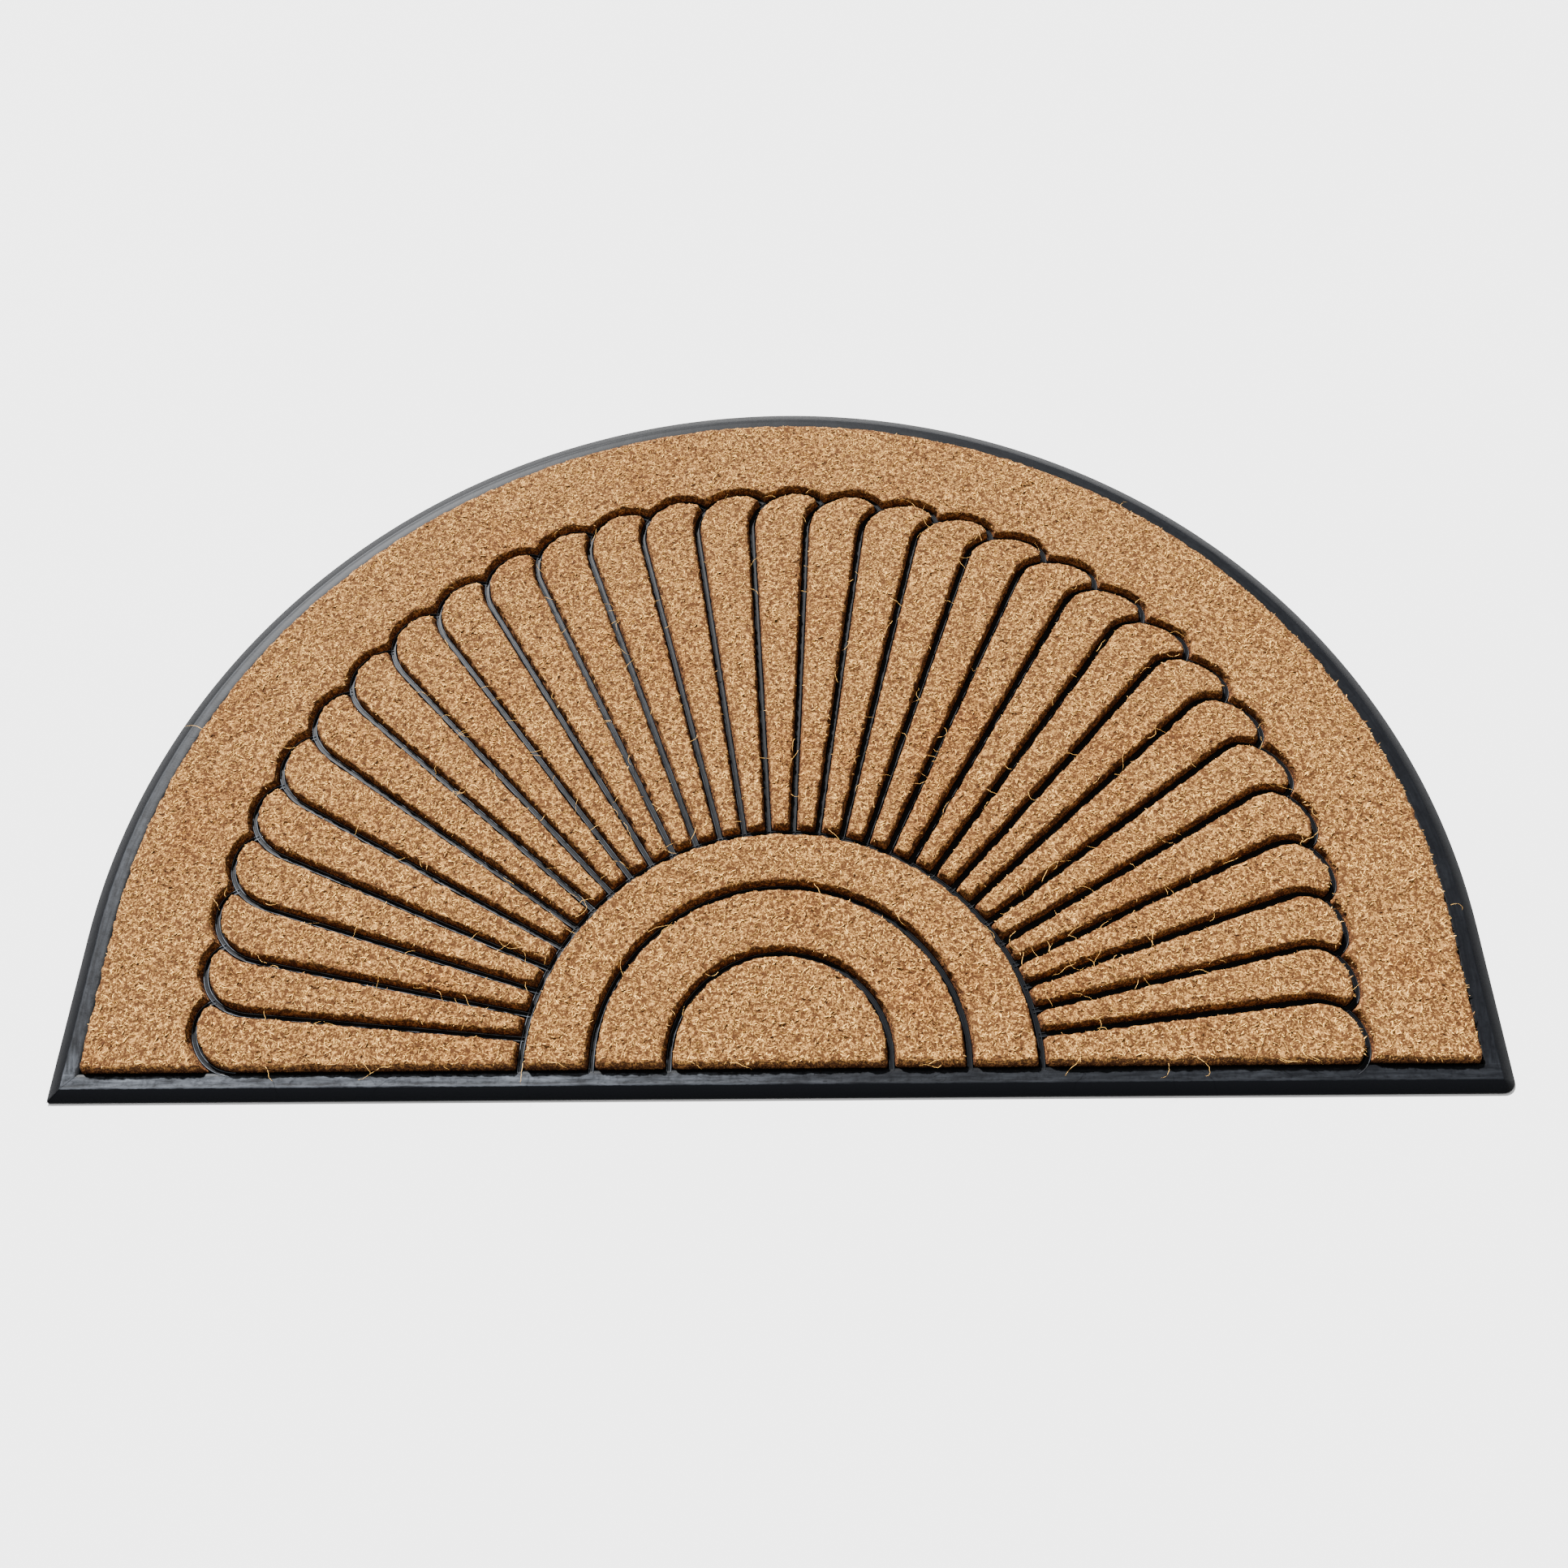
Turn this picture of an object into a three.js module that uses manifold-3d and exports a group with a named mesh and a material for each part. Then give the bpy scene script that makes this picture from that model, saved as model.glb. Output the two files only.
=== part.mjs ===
import * as THREE from 'three';
import { mergeVertices } from 'three/addons/utils/BufferGeometryUtils.js';
import Module from 'manifold-3d';

// Half round doormat: blocks of coir pile standing in the cells of a moulded rubber tray.
// Millimetres, +Z up. Seen from above, the straight edge runs along X at the front
// and the half round edge lies towards +Y. Plan angles run clockwise from the left end.

// Outline of the whole mat
const MAT_WIDTH = 1219;
const MAT_DEPTH = 762;
const ROUND_RADIUS = MAT_WIDTH / 2;
const SIDE_LENGTH = MAT_DEPTH - ROUND_RADIUS;
const LEFT_CORNER_RADIUS = 3;
const RIGHT_CORNER_RADIUS = 11;
const OUTLINE_STEPS = 48;
const CORNER_STEPS = 3;

// Rubber tray: flat backing with a raised border, bevelled outside and level inside
const BACKING = 2.5;
const BORDER_WIDTH = 24;
const BORDER_HEIGHT = 6.5;
const LIP_HEIGHT = 1.8;
const BEVEL_WIDTH = 11;

// Rubber ribs between the blocks, as high as the border
const RIB_WIDTH = 4.2;
const RIB_ROOT = BACKING / 2;

// Half rings round the fan's centre; the lift moves a ring's arc back, on longer legs
const RINGS = [
  { radius: 93, lift: 5, steps: 16 },
  { radius: 158, lift: 4, steps: 22 },
  { radius: 218, lift: 0, steps: 28 },
];

// Fan of petals round a centre just behind the front border
const PETALS = 31;
const PITCH = Math.PI / PETALS;
const FAN_CENTRE = new THREE.Vector2(6.5, 29.5);
const FAN_RADIUS = RINGS[2].radius;
const CELL_MARGIN = BORDER_WIDTH - RIB_WIDTH / 2;

// Scalloped tips, as depths below a line set in from the mat's outline. Rib k runs straight to
// its bend, curves clockwise to the top of its petal's tip and drops onto the next rib's curve.
const SCALLOP_INSET = 120;
const BEND_DEPTH = 38;
const BEND_REACH = 24;
const TIP_DEPTH = -5;
const TIP_REACH = 25;
const TIP_LEAD = THREE.MathUtils.degToRad(4.4);
const NOTCH_AT = 0.48;
const DROP_ROUNDING = 0.6;
const RISE_STEPS = 4;
const CROWN_STEPS = 5;
const DROP_STEPS = 3;

// The moulded fan is slightly uneven: the ribs' bends lie off their even places by this much
const BEND_LEAD = THREE.MathUtils.degToRad(-0.34);
const BEND_SWING = THREE.MathUtils.degToRad(1.2);

// Coir pile blocks, drawn in from the middle of the ribs round them
const CLEARANCE = 0.3;
const SHORTEST_EDGE = 2;
const PILE_FOOT = BACKING + CLEARANCE;
const PILE_SHOULDER = 12.8;
const PILE_TOP = 14;
const PILE_LEVELS = [
  { z: PILE_FOOT, inset: RIB_WIDTH / 2 + CLEARANCE },
  { z: PILE_SHOULDER, inset: 3.2 },
  { z: PILE_TOP, inset: 4.3 },
];

const wasm = await Module();
wasm.setup();

const RUBBER = new THREE.MeshStandardMaterial({ color: 0x24262a, roughness: 0.62, metalness: 0 });
const COIR = new THREE.MeshStandardMaterial({ color: 0xb58a56, roughness: 0.95, metalness: 0 });

// Plan outlines: lists of points, anticlockwise seen from above

function arcPoints(centre, radius, from, to, steps) {
  const points = [];
  for (let i = 0; i <= steps; i += 1) {
    const angle = THREE.MathUtils.lerp(from, to, i / steps);
    points.push(new THREE.Vector2(Math.cos(angle), Math.sin(angle)).multiplyScalar(radius).add(centre));
  }
  return points;
}

// The mat's outline, drawn in by the same distance all round
function matOutline(inset) {
  const half = ROUND_RADIUS - inset;
  const leftRadius = Math.max(LEFT_CORNER_RADIUS - inset, 0.5);
  const rightRadius = Math.max(RIGHT_CORNER_RADIUS - inset, 0.5);
  const left = new THREE.Vector2(-half + leftRadius, inset + leftRadius);
  const right = new THREE.Vector2(half - rightRadius, inset + rightRadius);
  return [
    ...arcPoints(left, leftRadius, Math.PI, Math.PI * 1.5, CORNER_STEPS),
    ...arcPoints(right, rightRadius, Math.PI * 1.5, Math.PI * 2, CORNER_STEPS),
    ...arcPoints(new THREE.Vector2(0, SIDE_LENGTH), half, 0, Math.PI, OUTLINE_STEPS),
  ];
}

// Distance from the fan's centre to the drawn-in outline, along a plan angle
function reachAt(angle, inset) {
  const half = ROUND_RADIUS - inset;
  const along = new THREE.Vector2(-Math.cos(angle), Math.sin(angle));
  const sideways = half - Math.sign(along.x) * FAN_CENTRE.x;
  const toSide = sideways / Math.max(Math.abs(along.x), 1e-9);
  if (FAN_CENTRE.y + toSide * along.y <= SIDE_LENGTH) return toSide;
  const fromRound = FAN_CENTRE.clone().sub(new THREE.Vector2(0, SIDE_LENGTH));
  const lean = fromRound.dot(along);
  return Math.sqrt(lean ** 2 - fromRound.lengthSq() + half ** 2) - lean;
}

function fanPoint(angle, radius) {
  return new THREE.Vector2(-Math.cos(angle), Math.sin(angle)).multiplyScalar(radius).add(FAN_CENTRE);
}

function tipPoint(angle, depth) {
  return fanPoint(angle, reachAt(angle, SCALLOP_INSET) - depth);
}

function ontoBorder(point) {
  return new THREE.Vector2(point.x, CELL_MARGIN);
}

function bendAngle(k) {
  return k * PITCH + BEND_LEAD + BEND_SWING * Math.sin(2 * k * PITCH);
}

// Straight part of rib k, from the outer ring to the bend; the first and last lie on the border
function ribStem(k) {
  const stem = [fanPoint(k * PITCH, FAN_RADIUS), tipPoint(bendAngle(k), BEND_DEPTH)];
  return k % PETALS === 0 ? stem.map(ontoBorder) : stem;
}

function tipDirection(k) {
  const angle = k * PITCH + TIP_LEAD;
  return tipPoint(angle + 0.01, TIP_DEPTH).sub(tipPoint(angle - 0.01, TIP_DEPTH)).normalize();
}

// Curve of rib k from its bend to the top of its tip
function ribCurve(k) {
  const [foot, bend] = ribStem(k);
  const top = tipPoint(k * PITCH + TIP_LEAD, TIP_DEPTH);
  const first = bend.clone().sub(foot).setLength(BEND_REACH).add(bend);
  const second = top.clone().addScaledVector(tipDirection(k), -TIP_REACH);
  return new THREE.CubicBezierCurve(bend, first, second, top);
}

function curveSpan(curve, from, to, steps) {
  const points = [];
  for (let i = 0; i <= steps; i += 1) points.push(curve.getPoint(THREE.MathUtils.lerp(from, to, i / steps)));
  return points;
}

// Rib k from the outer ring to the notch where the last rib meets it
function ribToNotch(k) {
  return [ribStem(k)[0], ...curveSpan(ribCurve(k), 0, NOTCH_AT, RISE_STEPS)];
}

// Rib k from its notch over the tip of its petal to the next rib's notch
function ribOverTip(k) {
  const crown = curveSpan(ribCurve(k), NOTCH_AT, 1, CROWN_STEPS);
  const top = crown.pop();
  const notch = ribCurve(k + 1).getPoint(NOTCH_AT);
  const middle = top.clone().addScaledVector(tipDirection(k), DROP_ROUNDING * top.distanceTo(notch));
  const drop = new THREE.QuadraticBezierCurve(top, middle, notch);
  return [...crown, ...drop.getPoints(DROP_STEPS)];
}

function ringArc(radius, from, to, steps) {
  const points = [];
  for (let i = 0; i <= steps; i += 1) points.push(fanPoint(THREE.MathUtils.lerp(from, to, i / steps), radius));
  return points;
}

// Half ring with straight legs down to the front border
function ringLine({ radius, lift, steps }) {
  const arc = ringArc(radius, 0, Math.PI, steps).map(({ x, y }) => new THREE.Vector2(x, y + lift));
  return [ontoBorder(arc[0]), ...arc, ontoBorder(arc.at(-1))];
}

// The part of an outline behind the front border, with no very short edges
function behindFrontBorder(outline) {
  const kept = [];
  outline.forEach((point, i) => {
    const next = outline[(i + 1) % outline.length];
    const inside = point.y >= CELL_MARGIN - 1e-6;
    if (inside) kept.push(point);
    if (inside !== (next.y >= CELL_MARGIN - 1e-6)) {
      const t = (CELL_MARGIN - point.y) / (next.y - point.y);
      kept.push(point.clone().lerp(next, t));
    }
  });
  return kept.filter((point, i) => point.distanceTo(kept.at(i - 1)) > SHORTEST_EDGE);
}

// Each point moved in along the two edges that meet there
function drawnIn(outline, distance) {
  const count = outline.length;
  return outline.map((point, i) => {
    const before = point.clone().sub(outline[(i + count - 1) % count]).normalize();
    const after = outline[(i + 1) % count].clone().sub(point).normalize();
    const shift = new THREE.Vector2(-before.y - after.y, before.x + after.x);
    return point.clone().addScaledVector(shift, distance / (1 + before.dot(after)));
  });
}

// Cells between the middles of the ribs

function petalCell(k) {
  const side = ribToNotch(k);
  const nextSide = ribToNotch(k + 1).reverse();
  const foot = ringArc(FAN_RADIUS, (k + 1) * PITCH, k * PITCH, 2);
  return behindFrontBorder([...side, ...ribOverTip(k).slice(1), ...nextSide.slice(1), ...foot].reverse());
}

function outerBandCell() {
  const half = ROUND_RADIUS - CELL_MARGIN;
  const rim = arcPoints(new THREE.Vector2(0, SIDE_LENGTH), half, 0, Math.PI, OUTLINE_STEPS);
  const [bend, notch] = ribToNotch(0).slice(-2);
  const curl = notch.clone().lerp(bend, (CELL_MARGIN - notch.y) / (bend.y - notch.y));
  const scallops = [curl];
  for (let k = 0; k < PETALS; k += 1) scallops.push(...ribOverTip(k).slice(0, -1));
  scallops.push(ribOverTip(PETALS - 1).at(-1));
  return behindFrontBorder([ontoBorder(rim.at(-1)), ...scallops, ontoBorder(rim[0]), ...rim]);
}

function ringCell(index) {
  const outer = ringLine(RINGS[index]).reverse();
  return index === 0 ? outer : [...outer, ...ringLine(RINGS[index - 1])];
}

// Solids

// Closed shell through outlines with equal numbers of points, from the first level to the last
function stack(levels) {
  const count = levels[0].outline.length;
  const positions = levels.flatMap(({ outline, z }) => outline.flatMap(({ x, y }) => [x, y, z]));
  const index = [];
  for (const [a, b, c] of THREE.ShapeUtils.triangulateShape(levels[0].outline, [])) index.push(c, b, a);
  for (let level = 1; level < levels.length; level += 1) {
    for (let i = 0; i < count; i += 1) {
      const low = (level - 1) * count;
      const high = level * count;
      const j = (i + 1) % count;
      index.push(low + i, low + j, high + j, low + i, high + j, high + i);
    }
  }
  const last = (levels.length - 1) * count;
  for (const [a, b, c] of THREE.ShapeUtils.triangulateShape(levels.at(-1).outline, [])) {
    index.push(last + a, last + b, last + c);
  }
  const geometry = new THREE.BufferGeometry();
  geometry.setAttribute('position', new THREE.Float32BufferAttribute(positions, 3));
  geometry.setIndex(index);
  return geometry;
}

function pileBlock(cell) {
  return stack(PILE_LEVELS.map(({ z, inset }) => ({ z, outline: drawnIn(cell, inset) })));
}

function trayShell() {
  return stack([
    { z: 0, outline: matOutline(0) },
    { z: LIP_HEIGHT, outline: matOutline(0) },
    { z: BORDER_HEIGHT, outline: matOutline(BEVEL_WIDTH) },
    { z: BORDER_HEIGHT, outline: matOutline(BORDER_WIDTH) },
    { z: BACKING, outline: matOutline(BORDER_WIDTH) },
  ]);
}

// Upright wall of even width along an open line
function ribWall(line) {
  const sides = [1, -1].map((side) => line.map((point, i) => {
    const before = point.clone().sub(line[Math.max(i - 1, 0)]).normalize();
    const after = line[Math.min(i + 1, line.length - 1)].clone().sub(point).normalize();
    const along = before.add(after).normalize();
    return point.clone().add(new THREE.Vector2(-along.y, along.x).multiplyScalar((side * RIB_WIDTH) / 2));
  }));
  const outline = [...sides[1], ...sides[0].reverse()];
  return stack([{ z: RIB_ROOT, outline }, { z: BORDER_HEIGHT, outline }]);
}

function toManifold(geometry) {
  const merged = mergeVertices(geometry);
  return new wasm.Manifold(new wasm.Mesh({
    numProp: 3,
    vertProperties: new Float32Array(merged.getAttribute('position').array),
    triVerts: new Uint32Array(merged.getIndex().array),
  }));
}

function toGeometry(solid) {
  const { vertProperties, triVerts } = solid.getMesh();
  const geometry = new THREE.BufferGeometry();
  geometry.setAttribute('position', new THREE.BufferAttribute(vertProperties, 3));
  geometry.setIndex(new THREE.BufferAttribute(triVerts, 1));
  return geometry;
}

function rubberBase() {
  const lines = RINGS.map(ringLine);
  for (let k = 0; k < PETALS; k += 1) {
    const side = k === 0 ? ribToNotch(k).slice(1) : ribToNotch(k);
    lines.push([...side, ...ribOverTip(k).slice(1)]);
  }
  const walls = lines.map((line) => toManifold(ribWall(line)));
  return toGeometry(walls.reduce((solid, wall) => solid.add(wall), toManifold(trayShell())));
}

// The mat, with its origin under the middle of its box

const mat = new THREE.Group();
mat.name = 'half_round_doormat';
mat.position.y = -MAT_DEPTH / 2;

function addPiece(name, geometry, material) {
  const mesh = new THREE.Mesh(geometry, material);
  mesh.name = name;
  mat.add(mesh);
}

addPiece('rubber_base', rubberBase(), RUBBER);
['coir_centre', 'coir_inner_ring', 'coir_outer_ring'].forEach((name, i) => {
  addPiece(name, pileBlock(ringCell(i)), COIR);
});
for (let k = 0; k < PETALS; k += 1) {
  addPiece(`coir_petal_${String(k + 1).padStart(2, '0')}`, pileBlock(petalCell(k)), COIR);
}
addPiece('coir_outer_band', pileBlock(outerBandCell()), COIR);

export default mat;
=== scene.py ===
import math

import bpy
import numpy as np
from mathutils import Matrix, Vector, geometry


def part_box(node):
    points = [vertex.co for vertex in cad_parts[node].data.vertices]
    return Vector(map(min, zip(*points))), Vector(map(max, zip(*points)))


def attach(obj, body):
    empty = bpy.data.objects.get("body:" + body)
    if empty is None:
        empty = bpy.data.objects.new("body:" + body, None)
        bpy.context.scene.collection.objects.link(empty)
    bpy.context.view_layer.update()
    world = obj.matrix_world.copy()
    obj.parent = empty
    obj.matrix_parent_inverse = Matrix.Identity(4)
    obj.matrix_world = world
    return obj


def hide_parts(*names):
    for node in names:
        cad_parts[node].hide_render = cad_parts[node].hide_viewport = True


# Half round doormat: coir pile standing in the cells of a moulded rubber tray.
# Plan sizes are millimetres, seen from above, with y counted from the front edge.
# Plan angles run clockwise from the left end of the straight edge.

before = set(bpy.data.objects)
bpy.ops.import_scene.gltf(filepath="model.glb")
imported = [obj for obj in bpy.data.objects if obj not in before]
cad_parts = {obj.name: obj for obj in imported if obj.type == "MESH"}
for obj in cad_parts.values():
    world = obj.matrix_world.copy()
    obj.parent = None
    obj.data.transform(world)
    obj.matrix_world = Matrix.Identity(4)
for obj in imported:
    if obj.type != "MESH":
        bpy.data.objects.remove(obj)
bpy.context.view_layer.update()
TRAY_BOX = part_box("rubber_base")

MM = 0.001
MAT_WIDTH = (TRAY_BOX[1].x - TRAY_BOX[0].x) / MM
MAT_DEPTH = (TRAY_BOX[1].y - TRAY_BOX[0].y) / MM
FRONT_EDGE = TRAY_BOX[0].y / MM
PILE_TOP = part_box("coir_centre")[1].z / MM
PILE_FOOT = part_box("coir_centre")[0].z / MM
BORDER_TOP = TRAY_BOX[1].z / MM

# Plan of the tray
ROUND_RADIUS = MAT_WIDTH / 2
SIDE_LENGTH = MAT_DEPTH - ROUND_RADIUS
LEFT_CORNER_RADIUS = 3.0
RIGHT_CORNER_RADIUS = 11.0
BORDER_WIDTH = 24.0
RIB_WIDTH = 4.2
CELL_MARGIN = BORDER_WIDTH - RIB_WIDTH / 2

# Fan and rings
PETALS = 31
PITCH = math.pi / PETALS
FAN_CENTRE = np.array([6.5, 29.5])
RINGS = [
    {"radius": 93.0, "lift": 5.0},
    {"radius": 158.0, "lift": 4.0},
    {"radius": 218.0, "lift": 0.0},
]
FAN_RADIUS = RINGS[2]["radius"]
SCALLOP_INSET = 120.0
BEND_DEPTH = 38.0
BEND_REACH = 24.0
BEND_LEAD = math.radians(-0.34)
BEND_SWING = math.radians(1.2)
TIP_DEPTH = -5.0
TIP_REACH = 25.0
TIP_LEAD = math.radians(4.4)
NOTCH_AT = 0.48
DROP_ROUNDING = 0.6
TANGENT_ANGLE = 0.01

# Steps along the plan's curves, coarse round the cells and fine along the ribs
OUTLINE_STEPS = 180
LEFT_CORNER_STEPS = 5
RIGHT_CORNER_STEPS = 9
BAND_RIM_STEPS = 160
PETAL_FOOT_STEPS = 3
CELL_STEPS = {"rise": 4, "crown": 5, "drop": 3}
RIB_STEPS = {"stem": 6, "rise": 10, "crown": 14, "drop": 9}
RING_CELL_STEP = 6.0
RING_RIB_STEP = 4.0
SHORTEST_EDGE = 2.0
SMALLEST_CORNER = 0.3
TOLERANCE = 1e-6

# Section of the tray's border, from its outer foot to the floor of the cells
BORDER_SECTION = [
    {"inset": 0.5, "z": 0.0},
    {"inset": 0.0, "z": 0.5},
    {"inset": 0.0, "z": 1.5},
    {"inset": 0.45, "z": 2.1},
    {"inset": 10.0, "z": BORDER_TOP - 0.45},
    {"inset": 10.8, "z": BORDER_TOP - 0.08},
    {"inset": 11.6, "z": BORDER_TOP},
    {"inset": 12.5, "z": BORDER_TOP - 0.17},
    {"inset": 15.0, "z": BORDER_TOP - 0.1},
    {"inset": 18.5, "z": BORDER_TOP - 0.12},
    {"inset": 20.8, "z": BORDER_TOP - 0.22},
    {"inset": 22.6, "z": BORDER_TOP - 0.45},
    {"inset": 23.8, "z": BORDER_TOP - 1.1},
    {"inset": 24.3, "z": 2.5},
]

# Half section of a rib: one of its two raised lips, and half of the shallow trough between them
RIB_SECTION = [
    {"across": 2.1, "z": 1.6},
    {"across": 2.1, "z": BORDER_TOP - 0.5},
    {"across": 2.0, "z": BORDER_TOP + 0.08},
    {"across": 1.8, "z": BORDER_TOP + 0.2},
    {"across": 1.5, "z": BORDER_TOP + 0.06},
    {"across": 1.3, "z": BORDER_TOP - 0.7},
    {"across": 0.0, "z": BORDER_TOP - 0.8},
]
SHARP_ANGLE = math.radians(40)

# Seam at the border's left front corner, a small ridge of three sides
SEAM_FROM = 1.5
SEAM_HALF_WIDTH = 0.3
SEAM_PROUD = 0.22
SEAM_SUNK = 0.4

# Sides of a coir block, as distances in from the middle of the ribs round it, with how rough
# they are there and how much of the top's unevenness they share
PILE_SECTION = [
    {"inset": 2.5, "z": PILE_FOOT, "rough": 0.0, "uneven": 0.0},
    {"inset": 3.2, "z": 6.0, "rough": 0.3, "uneven": 0.0},
    {"inset": 3.8, "z": 8.5, "rough": 0.5, "uneven": 0.0},
    {"inset": 4.3, "z": 11.0, "rough": 0.7, "uneven": 0.0},
    {"inset": 4.8, "z": 12.9, "rough": 0.8, "uneven": 0.6},
    {"inset": 5.1, "z": 13.6, "rough": 0.8, "uneven": 0.6},
    {"inset": 5.6, "z": PILE_TOP, "rough": 0.6, "uneven": 0.6},
]
SIDE_SPACING = 2.2
SIDE_SOFTENING = 2
SWELL_SIZE = 5.5
SWELL_SEED = 21
BROAD_SWELL = 1.2
FINE_SWELL = 0.8

# Top of a coir block: a jittered lattice, raised and lowered by patches of several sizes
PILE_SPACING = 3.3
TOP_MARGIN = 1.5
TOP_SOFTENING = 3
LATTICE_JITTER = 0.3
TOP_JITTER = 0.3
MERGE_DISTANCE = 1e-4
PILE_BUMPS = [
    {"size": 55.0, "height": 0.35, "seed": 11},
    {"size": 21.0, "height": 0.25, "seed": 12},
    {"size": 7.5, "height": 0.45, "seed": 13},
    {"size": 3.4, "height": 0.45, "seed": 14},
]
NOISE_CELLS = 256
NOISE_ORIGIN = 1000.0
BLOCK_SEED = 100

# Every short fibre is a closed sliver with a low ridge across its middle
FIBRE_SEED = 900
SLIVER_POINTS = 4
SLIVER_FACES = [[0, 3, 2], [1, 2, 3], [0, 2, 1], [0, 1, 3]]
FIBRE_WIDTHS = (0.38, 0.92)
FIBRE_ROLL = 0.7
FIBRE_MIDDLES = (0.35, 0.65)
FIBRE_BEND = 0.12
RIDGE_HEIGHT = 0.25
RIDGE_GROWTH = 0.07
FIBRE_TONES = 1.5

# Fibres that lie on a top, with their number per square millimetre
TOP_FIBRES = 0.24
LYING_LENGTH = {"shape": 6, "scale": 0.54, "shortest": 1.5}
LYING_JITTER = 0.7
LYING_SINK = 0.45
LYING_DEPTHS = 0.35
LYING_TILT = 0.55
LYING_CUTS = (0.4, 0.0)

# Fibres that lean out over an edge, with their number per millimetre
EDGE_FIBRES = 0.9
LEANING_LENGTH = {"shape": 4, "scale": 0.36, "shortest": 0.9}
LEANING_SINK = 0.35
LEANING_DROP = 2.0
DROP_CROWDING = 1.5
LEANING_BACK = (1.3, 3.2)
BACK_PER_DROP = 0.4
LEANING_RISES = (-0.9, 0.5)
LEANING_SPLAY = 1.0
FRINGE_FROM = 480.0
FRINGE_LENGTH = 1.6

# Loose hairs over the edges of the blocks
HAIRS = 420
HAIR_SEED = 77
HAIR_STEPS = 9
HAIR_LENGTH = {"shape": 5, "scale": 2.6, "shortest": 5}
HAIR_SPREAD = 5.0
HAIR_LIFT = 0.1
HAIR_KINK = 0.28
HAIR_CURL = 0.12
HAIR_ARCH = (0.3, 1.6)
HAIR_SAG = (0.0, 0.6)
HAIR_HALF_WIDTHS = (0.12, 0.21)
HAIR_TAPER = 1.05
HAIR_TONES = (0.6, 1.0)


# Plan curves

def fan_point(angle, radius):
    return FAN_CENTRE + radius * np.array([-math.cos(angle), math.sin(angle)])


def reach_at(angle, inset):
    """Distance from the fan's centre to the drawn-in outline of the mat."""
    half = ROUND_RADIUS - inset
    along = np.array([-math.cos(angle), math.sin(angle)])
    sideways = half - math.copysign(FAN_CENTRE[0], along[0])
    to_side = sideways / max(abs(along[0]), TOLERANCE)
    if FAN_CENTRE[1] + to_side * along[1] <= SIDE_LENGTH:
        return to_side
    from_round = FAN_CENTRE - np.array([0.0, SIDE_LENGTH])
    lean = from_round @ along
    return math.sqrt(lean ** 2 - from_round @ from_round + half ** 2) - lean


def tip_point(angle, depth):
    return fan_point(angle, reach_at(angle, SCALLOP_INSET) - depth)


def unit(vector):
    return vector / np.linalg.norm(vector)


def onto_border(point):
    return np.array([point[0], CELL_MARGIN])


def bend_angle(k):
    return k * PITCH + BEND_LEAD + BEND_SWING * math.sin(2 * k * PITCH)


def rib_stem(k):
    stem = [fan_point(k * PITCH, FAN_RADIUS), tip_point(bend_angle(k), BEND_DEPTH)]
    return [onto_border(p) for p in stem] if k % PETALS == 0 else stem


def tip_direction(k):
    angle = k * PITCH + TIP_LEAD
    return unit(tip_point(angle + TANGENT_ANGLE, TIP_DEPTH) - tip_point(angle - TANGENT_ANGLE, TIP_DEPTH))


def curve_points(controls, start, end, steps):
    """Points of a Bezier curve between two of its fractions."""
    order = len(controls) - 1
    t = np.linspace(start, end, steps + 1)[:, None]
    return sum(
        math.comb(order, i) * (1 - t) ** (order - i) * t ** i * np.asarray(p)
        for i, p in enumerate(controls)
    )


def rib_controls(k):
    foot, bend = rib_stem(k)
    top = tip_point(k * PITCH + TIP_LEAD, TIP_DEPTH)
    return [bend, bend + unit(bend - foot) * BEND_REACH, top - tip_direction(k) * TIP_REACH, top]


def notch_point(k):
    return curve_points(rib_controls(k), NOTCH_AT, NOTCH_AT, 0)[0]


def rib_to_notch(k, steps):
    return np.vstack([rib_stem(k)[0], curve_points(rib_controls(k), 0, NOTCH_AT, steps["rise"])])


def rib_over_tip(k, steps):
    crown = curve_points(rib_controls(k), NOTCH_AT, 1, steps["crown"])
    top, notch = crown[-1], notch_point(k + 1)
    middle = top + tip_direction(k) * DROP_ROUNDING * np.linalg.norm(notch - top)
    return np.vstack([crown[:-1], curve_points([top, middle, notch], 0, 1, steps["drop"])])


def ring_arc(radius, start, end, steps):
    return np.array([fan_point(a, radius) for a in np.linspace(start, end, steps + 1)])


def ring_line(ring, step):
    arc = ring_arc(ring["radius"], 0, math.pi, int(math.pi * ring["radius"] / step))
    arc = arc + np.array([0.0, ring["lift"]])
    return np.vstack([onto_border(arc[0]), arc, onto_border(arc[-1])])


def corner_arc(centre, radius, start, end, steps):
    angles = np.linspace(start, end, steps + 1)
    return centre + radius * np.stack([np.cos(angles), np.sin(angles)], 1)


def mat_outline(inset):
    half = ROUND_RADIUS - inset
    left = max(LEFT_CORNER_RADIUS - inset, SMALLEST_CORNER)
    right = max(RIGHT_CORNER_RADIUS - inset, SMALLEST_CORNER)
    left_centre = np.array([-half + left, inset + left])
    right_centre = np.array([half - right, inset + right])
    return np.vstack([
        corner_arc(left_centre, left, math.pi, 1.5 * math.pi, LEFT_CORNER_STEPS),
        corner_arc(right_centre, right, 1.5 * math.pi, 2 * math.pi, RIGHT_CORNER_STEPS),
        corner_arc(np.array([0.0, SIDE_LENGTH]), half, 0, math.pi, OUTLINE_STEPS),
    ])


# Cells between the middles of the ribs, as closed anticlockwise outlines

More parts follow.
